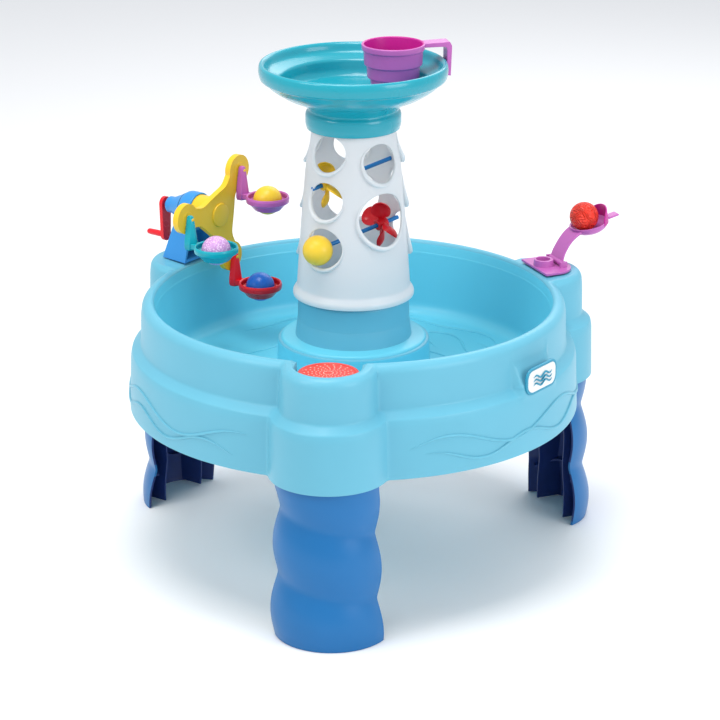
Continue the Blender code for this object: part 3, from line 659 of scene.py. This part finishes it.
# ---------------------------------------------------------------- tower
TOWER_Z = RIM_Z + 0.0045
TOWER_AT = ROOT @ at(0, 0, TOWER_Z)
TOWER_PROFILE = [(0.0911, 0.0000), (0.0911, 0.0070), (0.0850, 0.0160), (0.0838, 0.0350), (0.0795, 0.1000),
                 (0.0745, 0.1600), (0.0700, 0.2090), (0.0640, 0.2400), (0.0617, 0.2570), (0.0617, 0.2660)]
SMALL_HOLES = ((0.2293, 0.0275), (0.1600, 0.0285), (0.0889, 0.0310))
LARGE_HOLES = ((0.2150, 0.0300), (0.1310, 0.0410))
HOLE_COLUMNS = ((-28.0, SMALL_HOLES), (43.0, LARGE_HOLES), (115.0, SMALL_HOLES),
                (187.0, LARGE_HOLES), (259.0, SMALL_HOLES))
AXLE = Vector(JOINTS["spinner_red_spin"]["axis"]).normalized()


def tower_radius(height):
    for (r0, h0), (r1, h1) in zip(TOWER_PROFILE[1:], TOWER_PROFILE[2:]):
        if height <= h1:
            t = (height - h0) / (h1 - h0)
            return r0 + (r1 - r0) * max(0.0, t)
    return TOWER_PROFILE[-1][0]


def build_tower():
    inside = [(r - 0.003, z) for r, z in TOWER_PROFILE]
    shell = turned(TOWER_PROFILE + inside[::-1], 0.003, 144)
    cuts = []
    for bearing, holes in HOLE_COLUMNS:
        for height, radius in holes:
            cut = rod(radius, -0.110, -0.030, 0.0001, 64)
            cut.transform(turn(bearing) @ at(0, 0, height))
            cuts.append(("DIFFERENCE", cut))
    return combine(shell, cuts)


piece("tower_shell", build_tower(), TOWER, "table", ["tower"], TOWER_AT)

lips = []
for bearing, holes in HOLE_COLUMNS:
    for height, radius in holes:
        ring = []
        swell = []
        for k in range(64):
            a = 2 * math.pi * k / 64
            x = (radius + 0.0004) * math.cos(a)
            z = height + (radius + 0.0004) * math.sin(a)
            wall = tower_radius(z) - 0.0012
            low = 0.5 - 0.5 * math.sin(a + 0.5)
            y = -math.sqrt(wall * wall - x * x) - 0.0052 * low ** 2
            ring.append((x, y, z))
            swell.append(0.0012 + 0.0026 * low ** 2)
        lip = tube(ring, swell, 10, closed=True)
        lip.transform(turn(bearing))
        lips.append(lip)
piece("tower_lips", joined(lips), TOWER, "table", place=TOWER_AT)

# ---------------------------------------------------------------- axles and spinners
def frame_along(point, direction):
    """Local X along a direction, Z as upright as it can be."""
    x = Vector(direction).normalized()
    y = Vector((0, 0, 1)).cross(x).normalized()
    z = x.cross(y)
    m = Matrix((x, y, z)).transposed().to_4x4()
    m.translation = Vector(point)
    return m


def rod_x(radius, start, end, edge=0.0008):
    mesh = rod(radius, start, end, edge)
    mesh.transform(turn(-90))
    return mesh


AXLE_R = 0.0032
for name, half_low, half_high, joint, hub in (("axle_upper", -0.0755, 0.0755, "spinner_yellow_spin", -0.050),
                                              ("axle_lower", -0.0590, 0.0830, "spinner_red_spin", 0.052)):
    place = frame_along(JOINTS[joint]["pos_m"], AXLE) @ at(-hub, 0, 0)
    piece(name + "_rod", rod_x(AXLE_R, half_low, half_high), BLUE, "table", [name], place)


def build_petal(reach=0.0245, half=0.0150, thick=0.0024, cup=0.0075):
    """Scoop on a short stalk along X, hollow side towards +Y."""
    rings = []
    for i in range(25):
        t = i / 24
        x = 0.0050 + t * (reach + half - 0.0050)
        bulge = max(0.0, 1.0 - ((x - reach) / half) ** 2) ** 0.5 if x > reach - half else 0.0
        w = max(half * bulge, 0.0046 if x < reach else 0.0006)
        front = []
        rear = []
        for k in range(13):
            z = w * (k / 6 - 1.0)
            d2 = (z / half) ** 2 + max(0.0, (x - reach) / half) ** 2
            y = cup * (d2 - 0.45)
            front.append((x, y + thick / 2, z))
            rear.append((x, y - thick / 2, z))
        rings.append(front + rear[::-1])
    return loft(rings)


def build_spinner():
    hub = turned([(0.0035, -0.0085), (0.0085, -0.0085), (0.0085, 0.0085), (0.0035, 0.0085)], 0.001, 48)
    hub.transform(turn(90, "Y"))
    parts = [hub]
    for k in range(4):
        petal = build_petal()
        petal.transform(turn(90.0 * k + 12.0, "X") @ turn(90) @ turn(46, "X"))
        parts.append(petal)
    return joined(parts)


for name, joint, mat, slot in (("spinner_yellow", "spinner_yellow_spin", YELLOW, "yellow"),
                               ("spinner_red", "spinner_red_spin", RED, "red")):
    place = frame_along(JOINTS[joint]["pos_m"], AXLE)
    piece(name + "_blades", build_spinner(), mat, name, [name], place, bevel=0.0006)

# ---------------------------------------------------------------- bowl
BOWL_AT = ROOT @ at(0, 0, BOWL_LOW[2])
BOWL_PROFILE = [(0.0690, 0.0000), (0.0710, 0.0080), (0.0710, 0.0230), (0.0660, 0.0290), (0.0800, 0.0420),
                (0.1000, 0.0485), (0.1220, 0.0620), (0.1320, 0.0725), (0.1375, 0.0745), (0.1400, 0.0860),
                (0.1385, 0.0960), (0.1345, 0.0978), (0.1305, 0.0945), (0.1270, 0.0830), (0.1075, 0.0760),
                (0.1040, 0.0600), (0.0980, 0.0520), (0.0450, 0.0475), (0.0400, 0.0470), (0.0390, 0.0435),
                (0.0600, 0.0435), (0.0610, 0.0320), (0.0580, 0.0290), (0.0580, 0.0091), (0.0622, 0.0088),
                (0.0630, 0.0000)]
BOWL_SOFT = [0.001, 0.003, 0.004, 0.003, 0.008, 0.008, 0.010, 0.002, 0.004, 0.005, 0.003, 0.003, 0.003, 0.006,
             0.004, 0.004, 0.004, 0.004, 0.002, 0.001, 0.001, 0.001, 0.001, 0.001, 0.001, 0.001]
piece("bowl_shell", turned(BOWL_PROFILE, BOWL_SOFT, 160), BOWL, "table", ["bowl"], BOWL_AT)

# ---------------------------------------------------------------- wheel
WHEEL_AT = joint_at("wheel_spin", turn(TURRETS["left"]))
ARM = 0.079
ARM_ANGLES = {"teal": 8.7, "magenta": 128.7, "red": 248.7}


def star_outline():
    outline = []
    for base in ARM_ANGLES.values():
        arm = soft_corners([(0.0240, -0.0260), (0.0290, -0.0225), (0.0440, -0.0135), (0.0610, -0.0151)],
                           0.008, steps=6)
        for j in range(33):
            a = rad(-140.0 + 280.0 * j / 32)
            arm.append((ARM + 0.0235 * math.cos(a), 0.0235 * math.sin(a)))
        arm += soft_corners([(0.0610, 0.0151), (0.0440, 0.0135), (0.0290, 0.0225), (0.0240, 0.0260)],
                            0.008, steps=6)[1:-1]
        c = math.cos(rad(base))
        s = math.sin(rad(base))
        outline += [(x * c - z * s, x * s + z * c) for x, z in arm[1:]]
    return outline


star = combine(slab(star_outline(), -0.0150, -0.0050), [("UNION", rod(0.0255, -0.0680, -0.0130, 0.0010, 64))])
piece("wheel_body", star, YELLOW, "wheel", ["wheel_star"], WHEEL_AT, bevel=0.0016)
bosses = [turned([(0.0, -0.0055), (0.0190, -0.0055), (0.0180, -0.0026), (0.0, -0.0020)], 0.001, 64, False,
                 "Y")]
for base in ARM_ANGLES.values():
    spot = at(ARM * math.cos(rad(base)), 0, ARM * math.sin(rad(base)))
    peg = rod(0.0026, -0.0052, 0.0060, 0.0006, 32)
    pad = turned([(0.0, -0.0055), (0.0120, -0.0055), (0.0110, -0.0046), (0.0, -0.0046)], 0.0006, 48, False,
                 "Y")
    for mesh in (peg, pad):
        mesh.transform(spot)
        bosses.append(mesh)
piece("wheel_bosses", joined(bosses), YELLOW, "wheel", place=WHEEL_AT)
piece("wheel_rod", rod(0.0050, -0.1130, -0.0683), BLUE, "wheel", ["wheel_shaft"], WHEEL_AT)


def build_bracket():
    y = -0.0450
    barrel = turned([(0.0, y), (0.0285, y), (0.0285, y - 0.020), (0.0200, y - 0.036), (0.0130, y - 0.052),
                     (0.0130, y - 0.062), (0.0, y - 0.062)], 0.003, 64, False, "Y")
    foot = RIM_Z + TURRET_LIFT - JOINTS["wheel_spin"]["pos_m"][2] + 0.0003
    top = -0.020
    post = loft([
        [(-0.036, -0.048, foot), (0.036, -0.048, foot), (0.030, -0.098, foot), (-0.030, -0.098, foot)],
        [(-0.022, -0.048, top), (0.022, -0.048, top), (0.016, -0.084, top), (-0.016, -0.084, top)]])
    hollow = loft([
        [(-0.0325, -0.040, foot + 0.004), (0.0325, -0.040, foot + 0.004),
         (0.0265, -0.0945, foot + 0.004), (-0.0265, -0.0945, foot + 0.004)],
        [(-0.0190, -0.040, -0.0310), (0.0190, -0.040, -0.0310),
         (0.0135, -0.0800, -0.0310), (-0.0135, -0.0800, -0.0310)]])
    mouth = rod(0.0261, -0.0715, -0.040, 0.0001, 64)
    bore = rod(0.0056, -0.120, -0.060, 0.0001, 32)
    return combine(barrel, [("UNION", post), ("DIFFERENCE", hollow), ("DIFFERENCE", mouth), ("DIFFERENCE",
            bore)])


piece("bracket_shell", build_bracket(), BRACKET, "table", ["wheel_bracket"], WHEEL_AT,
      bevel=0.0010)


def build_crank():
    outline = []
    for j in range(25):
        a = rad(180.0 * j / 24)
        outline.append((0.0110 * math.cos(a), 0.0110 * math.sin(a)))
    for j in range(25):
        a = rad(180.0 + 180.0 * j / 24)
        outline.append((0.0088 * math.cos(a), -0.052 + 0.0088 * math.sin(a)))
    arm = slab(outline, -0.1195, -0.1133)
    grip = turned([(0.0, -0.1180), (0.0052, -0.1180), (0.0046, -0.1500), (0.0030, -0.1530), (0.0, -0.1530)],
                  0.0012, 40, False, "Y")
    grip.transform(at(0, 0, -0.052))
    return combine(arm, [("UNION", grip)])


piece("crank_body", build_crank(), RED, "wheel", ["wheel_crank"], WHEEL_AT, bevel=0.0012)

# ---------------------------------------------------------------- cups and their balls
CUP_DROP, CUP_REACH, CUP_DEPTH, CUP_HOLE = 0.034, 0.050, 0.021, 0.0172
CUP_PROFILE = [(0.0300, 0.0000), (0.0325, 0.0020), (0.0340, -0.0020), (0.0335, -0.0085), (0.0290, -0.0105),
               (0.0200, -CUP_DEPTH), (CUP_HOLE, -CUP_DEPTH), (0.0265, -0.0098), (0.0305, -0.0070)]


def ball_mesh():
    bands = 48
    profile = [(BALL_R * math.sin(math.pi * k / bands), BALL_R * math.cos(math.pi * k / bands))
               for k in range(1, bands)]
    return turned([(0.0, BALL_R), *profile, (0.0, -BALL_R)], 0.0, 96, closed=False)


def build_fin():
    """Tapered hanger with a centre ridge towards the cup."""
    rings = []
    for z, w, back, front, ridge in ((0.0066, 0.0026, -0.0026, 0.0026, 0.0030),
                                     (0.0040, 0.0042, -0.0038, 0.0038, 0.0046),
                                     (-0.0060, 0.0058, -0.0042, 0.0046, 0.0072),
                                     (-0.0200, 0.0082, -0.0044, 0.0050, 0.0100),
                                     (-0.0330, 0.0104, -0.0044, 0.0052, 0.0122),
                                     (-0.0420, 0.0110, -0.0042, 0.0052, 0.0118),
                                     (-0.0468, 0.0092, -0.0038, 0.0046, 0.0080)):
        rings.append([(-w, back, z), (w, back, z), (w * 0.9, front, z), (0.0015, ridge, z), (-0.0015, ridge,
                z),
                      (-w * 0.9, front, z)])
    return loft(rings)


for color, cup_mat, slot, ball_mat, ball_slot in (
        ("teal", CUP_TEAL, "cup_teal_skin", BALL_LAVENDER, "ball_lavender"),
        ("magenta", MAGENTA, "magenta", BALL_YELLOW, "ball_yellow"), ("red", RED, "red", BALL_BLUE,
                                                                      "ball_blue")):
    place = joint_at("cup_%s_swing" % color, turn(TURRETS["left"]))
    ring = turned(CUP_PROFILE, 0.0012, 96)
    ring.transform(at(0, CUP_REACH, -CUP_DROP))
    neck = box(-0.0080, 0.0080, 0.0040, 0.0185, -0.0440, -0.0355)
    piece("cup_ring_" + color, ring, cup_mat, "cup_" + color, ["cup_" + color], place)
    piece("cup_fin_" + color, joined([build_fin(), neck]), cup_mat, "cup_" + color, place=place,
          bevel=0.0010)
    low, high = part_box("ball_in_" + color)
    middle = [(low[i] + high[i]) / 2 for i in range(3)]
    piece("ball_skin_" + color, ball_mesh(), ball_mat, "ball_" + color, ["ball_in_" + color],
          at(*middle) @ turn(30, "X"))

# ---------------------------------------------------------------- launcher
LAUNCH_TOP = RIM_Z + TURRET_LIFT + 0.0003
HINGE_OUT = 0.344


def build_launch_base():
    outline = [(-0.043, -0.3045), (0.043, -0.3045)]
    for j in range(33):
        a = math.pi * j / 32
        outline.append((0.043 * math.cos(a), -(0.3300 + 0.032 * math.sin(a))))
    plate = loft([[(x, y, LAUNCH_TOP) for x, y in outline], [(x, y, LAUNCH_TOP + 0.0035) for x,
                                                             y in outline]])
    socket = turned([(0.0, 0.0), (0.0160, 0.0), (0.0150, 0.0130), (0.0, 0.0130)], 0.001, 64, closed=False)
    socket.transform(at(0, -0.3215, LAUNCH_TOP + 0.0010))
    well = turned([(0.0, 0.0), (0.0110, 0.0), (0.0110, 0.0200), (0.0, 0.0200)], 0.0001, 64, closed=False)
    well.transform(at(0, -0.3205, LAUNCH_TOP + 0.0045))
    lugs = [box(x, x + 0.004, -0.3500, -0.3380, LAUNCH_TOP + 0.001, LAUNCH_TOP + 0.0125) for x in (-0.0245,
            0.0205)]
    return combine(plate, [("UNION", socket), *[("UNION", lug) for lug in lugs], ("DIFFERENCE", well)])


piece("launch_base_body", build_launch_base(), MAGENTA, "table", ["launcher_base"], POD["right"],
      bevel=0.0010)
HINGE_AT = joint_at("launcher_flex", turn(TURRETS["right"]))
pin = rod(0.0017, -0.0240, 0.0240)
pin.transform(turn(90))
# The pin takes the darker painted-shade copy of the magenta.
piece("launch_pin_body", pin, MAGENTA_SHADE, "table", ["launcher_pin"], HINGE_AT)

SPOON_AT = HINGE_AT @ at(0, -0.058, 0.041) @ turn(-13.0, "X")


def build_strap():
    path = soft_corners([(0.0, 0.0), (-0.0030, 0.0120), (-0.0110, 0.0260), (-0.0200, 0.0370), (-0.0330,
            0.0460)],
                        0.008, steps=6)
    rings = []
    for i, (y, z) in enumerate(path):
        before = Vector(path[max(0, i - 1)])
        after = Vector(path[min(len(path) - 1, i + 1)])
        along = (after - before).normalized()
        n = Vector((along.y, -along.x)) * 0.0015
        half = 0.0190 - 0.0015 * math.sin(math.pi * i / (len(path) - 1))
        rings.append([(-half, y - n.x, z - n.y), (half, y - n.x, z - n.y),
                      (half, y + n.x, z + n.y), (-half, y + n.x, z + n.y)])
    barrel = rod(0.0045, -0.0196, 0.0196, 0.0008)
    barrel.transform(turn(90))
    return joined([loft(rings), barrel])


piece("launch_strap", build_strap(), MAGENTA, "launcher", ["launcher_arm"], HINGE_AT, bevel=0.0008)
spoon = turned([(0.0, 0.0), (0.0200, 0.0005), (0.0280, 0.0060), (0.0310, 0.0145), (0.0285, 0.0145),
                (0.0255, 0.0075), (0.0190, 0.0030), (0.0, 0.0025)], [0, 0.003, 0.004, 0.001, 0.001, 0.003,
                                                                     0.004, 0],
               96, closed=False)
piece("launch_spoon", spoon, MAGENTA, "launcher", place=SPOON_AT)


def build_back_wall():
    rings = []
    for k in range(41):
        degrees = -155 + 130 * k / 40
        t = (degrees + 90) / 65.0
        rise = 0.0125 + 0.0215 * (1 - t * t) ** 0.5 if abs(t) < 1 else 0.0125
        a = rad(degrees)
        rings.append([(r * math.cos(a), r * math.sin(a), z)
                      for r, z in ((0.0284, 0.0100), (0.0306, 0.0100), (0.0315, rise), (0.0293, rise))])
    return loft(rings)


# The back wall takes the darker painted-shade copy of the magenta.
piece("launch_back", build_back_wall(), MAGENTA_SHADE, "launcher", place=SPOON_AT, bevel=0.0007)
piece("launch_tab", box(-0.0080, 0.0080, -0.0500, -0.0295, 0.0100, 0.0135), MAGENTA, "launcher",
      place=SPOON_AT, bevel=0.0016)

for name, node, body, mat, slot in (("ball_skin_orange", "ball_launcher", "ball_launch", BALL_ORANGE,
                                     "ball_orange"),
                                    ("ball_skin_port", "ball_tower", "ball_port", BALL_YELLOW,
                                     "ball_yellow")):
    low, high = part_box(node)
    middle = [(low[i] + high[i]) / 2 for i in range(3)]
    piece(name, ball_mesh(), mat, body, [node], at(*middle) @ turn(40, "Y"))

# ---------------------------------------------------------------- bucket
BUCKET_BEARING, BUCKET_OUT = 109.6, 0.0603
BUCKET_AT = ROOT @ turn(BUCKET_BEARING) @ at(0, -BUCKET_OUT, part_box("bucket")[0][2])
BUCKET_PROFILE = [(0.0, 0.0), (0.0300, 0.0), (0.0320, 0.0020), (0.0345, 0.0180), (0.0385, 0.0200), (0.0395,
        0.0370),
                  (0.0430, 0.0390), (0.0440, 0.0600), (0.0465, 0.0610), (0.0470, 0.0690), (0.0455, 0.0700),
                  (0.0430, 0.0690), (0.0415, 0.0400), (0.0370, 0.0380), (0.0360, 0.0210), (0.0325, 0.0190),
                  (0.0300, 0.0022), (0.0, 0.0020)]
bucket_mesh = turned(BUCKET_PROFILE, 0.0010, 128, closed=False)
# Inward-facing faces and the floor of the bucket get the second material, the painted-shade magenta.
for poly in bucket_mesh.polygons:
    c = poly.center
    outward = c.x * poly.normal.x + c.y * poly.normal.y
    if outward < -0.002 or (poly.normal.z > 0.8 and c.z < 0.01):
        poly.material_index = 1
piece("bucket_body", bucket_mesh, MAGENTA, "bucket", ["bucket"], BUCKET_AT, inner=MAGENTA_SHADE)
lip = 0.1392 - BUCKET_OUT
hook = soft_corners([(0.0440, 0.0690), (0.0440, 0.0630), (lip, 0.0630), (lip, 0.0200), (lip + 0.0058, 0.0190),
                     (lip + 0.0075, 0.0640), (lip + 0.0040, 0.0700)], [0, 0.001, 0.006, 0.001, 0.001, 0.003,
                                                                       0.003, 0])
handle = loft([[(x, -y, z) for y, z in hook] for x in (-0.0120, 0.0120)])
piece("bucket_handle", handle, MAGENTA, "bucket", place=BUCKET_AT, bevel=0.0010)

# ---------------------------------------------------------------- floor, light, camera
floor_mat = bpy.data.materials.new("floor")
floor_mat.use_nodes = True
floor_mat.node_tree.nodes["Principled BSDF"].inputs["Base Color"].default_value = (0.95, 0.95, 0.95, 1.0)
floor_mat.node_tree.nodes["Principled BSDF"].inputs["Roughness"].default_value = 0.9
floor = bpy.data.objects.new("floor", loft([[(-30, -30, -0.001), (30, -30, -0.001), (30, 30, -0.001), (-30,
        30, -0.001)],
                                            [(-30, -30, -0.0005), (30, -30, -0.0005), (30, 30, -0.0005),
                                             (-30, 30, -0.0005)]]))
floor.data.materials.append(floor_mat)
bpy.context.scene.collection.objects.link(floor)

bpy.context.scene.view_settings.view_transform = "Standard"
world = bpy.data.worlds.new("studio")
bpy.context.scene.world = world
world.use_nodes = True
world.node_tree.nodes["Background"].inputs["Color"].default_value = (0.92, 0.95, 1.0, 1.0)
world.node_tree.nodes["Background"].inputs["Strength"].default_value = 0.74


def area_light(name, location, target, size, power, color=(1.0, 1.0, 1.0)):
    data = bpy.data.lights.new(name, "AREA")
    data.size = size
    data.energy = power
    data.color = color
    obj = bpy.data.objects.new(name, data)
    obj.location = location
    obj.rotation_euler = (Vector(target) - Vector(location)).to_track_quat("-Z", "Y").to_euler()
    bpy.context.scene.collection.objects.link(obj)


area_light("overhead", (-0.3, -0.4, 3.2), (0, 0, 0.4), 1.5, 54, (1.0, 0.99, 0.97))
area_light("key", (-1.9, -1.5, 2.3), (0, 0, 0.4), 1.2, 22, (1.0, 0.98, 0.95))
area_light("fill", (2.6, -1.6, 1.5), (0, 0, 0.4), 1.6, 34, (0.95, 0.98, 1.0))
area_light("back", (0.6, 2.6, 2.4), (0, 0, 0.5), 2.0, 24)

CAMERA_AZIMUTH = 6.5
CAMERA_FAR = 4.0
CAMERA_ABOVE_RIM = 1.3179
CAMERA_DOWN = 19.562
CAMERA_ASIDE = 0.14
CAMERA_LENS = 139.6
camera_data = bpy.data.cameras.new("camera")
camera_data.sensor_width = 36.0
camera_data.lens = CAMERA_LENS
camera = bpy.data.objects.new("camera", camera_data)
a = rad(CAMERA_AZIMUTH)
camera.location = (TABLE.x + CAMERA_FAR * math.sin(a), TABLE.y - CAMERA_FAR * math.cos(a),
                   RIM_Z + CAMERA_ABOVE_RIM)
camera.rotation_euler = (rad(90.0 - CAMERA_DOWN), 0.0, a - rad(CAMERA_ASIDE))
bpy.context.scene.collection.objects.link(camera)
bpy.context.scene.camera = camera
